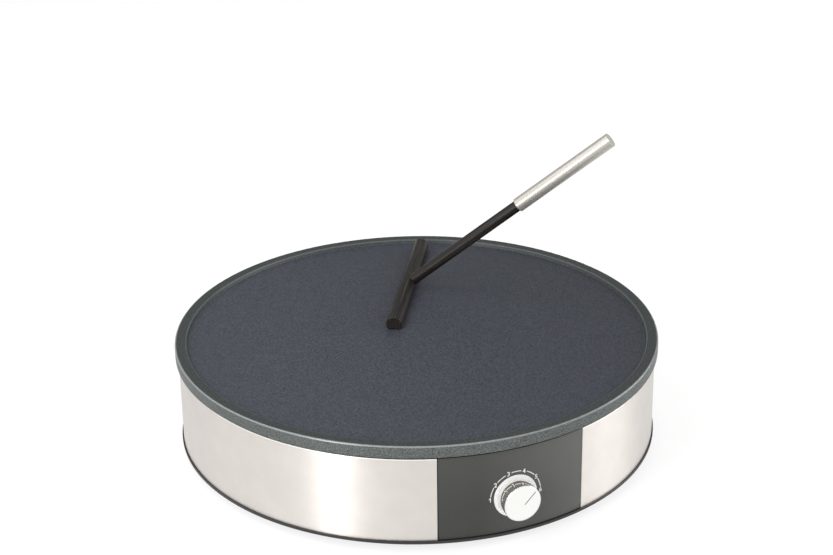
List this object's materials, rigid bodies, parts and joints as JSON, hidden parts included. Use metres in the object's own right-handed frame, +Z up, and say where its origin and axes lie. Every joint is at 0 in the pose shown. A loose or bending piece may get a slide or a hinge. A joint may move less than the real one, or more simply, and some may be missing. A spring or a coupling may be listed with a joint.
{
  "type": "electric crepe maker",
  "caption": "Round electric crepe maker: rimmed cast griddle plate on a steel-wrapped drum with a front knob, and a loose T-shaped batter spreader.",
  "frame": {"origin": "on the griddle plate's axis, on the surface that the rubber feet stand on", "axes": "+Z up out of the cooking surface, -Y the front with the knob, +Y the back with the cord inlet, +X to the right of a person facing the knob"},
  "size_m": [0.35, 0.359, 0.2075],
  "materials": {
    "nonstick_casting": "cast aluminium with a dark blue-grey speckled satin non-stick coating",
    "band_steel": "stainless sheet, fine horizontal brushing",
    "panel_plastic": "dark grey fine-grained moulding",
    "base_plastic": "black moulding, satin",
    "frame_plastic": "black heat-resistant moulding",
    "foot_rubber": "black rubber",
    "knob_mirror": "dark mirror finish",
    "knob_face": "pale spun-brushed disc with an engraved line",
    "light_guide": "milky translucent moulding",
    "screw_steel": "zinc-plated",
    "sheet_steel": "aluminised sheet",
    "element_sheath": "dull grey sheath",
    "ceramic_white": "unglazed steatite",
    "contact_brass": "plain brass",
    "thermostat_plastic": "brown phenolic moulding",
    "capillary_copper": "drawn copper alloy",
    "board_green": "solder-masked board",
    "lamp_clear": "clear",
    "spade_sleeve": "pale nylon",
    "wire_blue": "silicone insulation",
    "wire_brown": "silicone insulation",
    "wire_green": "silicone insulation, green and yellow",
    "spreader_plastic": "brown-black heat-resistant moulding",
    "handle_steel": "stainless tube, brushed lengthwise"
  },
  "bodies": {
    "housing": {"griddle_plate": "nonstick_casting", "heating_element": "element_sheath", "element_insulators": "ceramic_white", "element_tabs": "contact_brass", "plate_spacers": "ceramic_white", "plate_screws": "screw_steel", "heat_reflector": "sheet_steel", "inner_frame": "frame_plastic", "steel_band": "band_steel", "control_panel": "panel_plastic", "panel_screws": "screw_steel", "base_tray": "base_plastic", "base_screws": "screw_steel", "rubber_feet": "foot_rubber", "cord_bushing": "base_plastic", "bushing_lock_ring": "base_plastic", "cord_clamp": "base_plastic", "clamp_screws": "screw_steel", "terminal_block": "ceramic_white", "terminal_screws": "screw_steel", "light_ring": "light_guide", "led_board": "board_green", "leds": "lamp_clear", "board_screws": "screw_steel", "thermostat_body": "thermostat_plastic", "thermostat_bracket": "sheet_steel", "thermostat_screws": "screw_steel", "bracket_screws": "screw_steel", "sensor_bulb": "capillary_copper", "capillary_tube": "capillary_copper", "sensor_clips": "sheet_steel", "sensor_screws": "screw_steel", "thermal_cutout": "thermostat_plastic", "cutout_screws": "screw_steel", "earth_tab": "sheet_steel", "spade_connectors": "spade_sleeve", "wire_neutral": "wire_blue", "wire_live": "wire_brown", "wire_thermostat": "wire_brown", "wire_element": "wire_brown", "wire_earth": "wire_green"},
    "knob": {"knob_body": "knob_mirror", "knob_cap": "knob_face", "knob_shaft": "screw_steel", "knob_spring": "sheet_steel"},
    "spreader": {"spreader_bar": "spreader_plastic", "spreader_stick": "spreader_plastic", "handle_bush": "spreader_plastic", "spreader_handle": "handle_steel", "handle_cap": "handle_steel"}
  },
  "joints": [
    {"name": "knob_turn", "type": "hinge", "parent": "housing", "child": "knob", "pos_m": [0, -0.1726, 0.0339], "axis": [0, -1, 0], "range_deg": [-46, 134]},
    {"name": "spreader_lift", "type": "slide", "parent": "housing", "child": "spreader", "axis": [0, 0, 1], "range_m": [0, 0.08]}
  ]
}
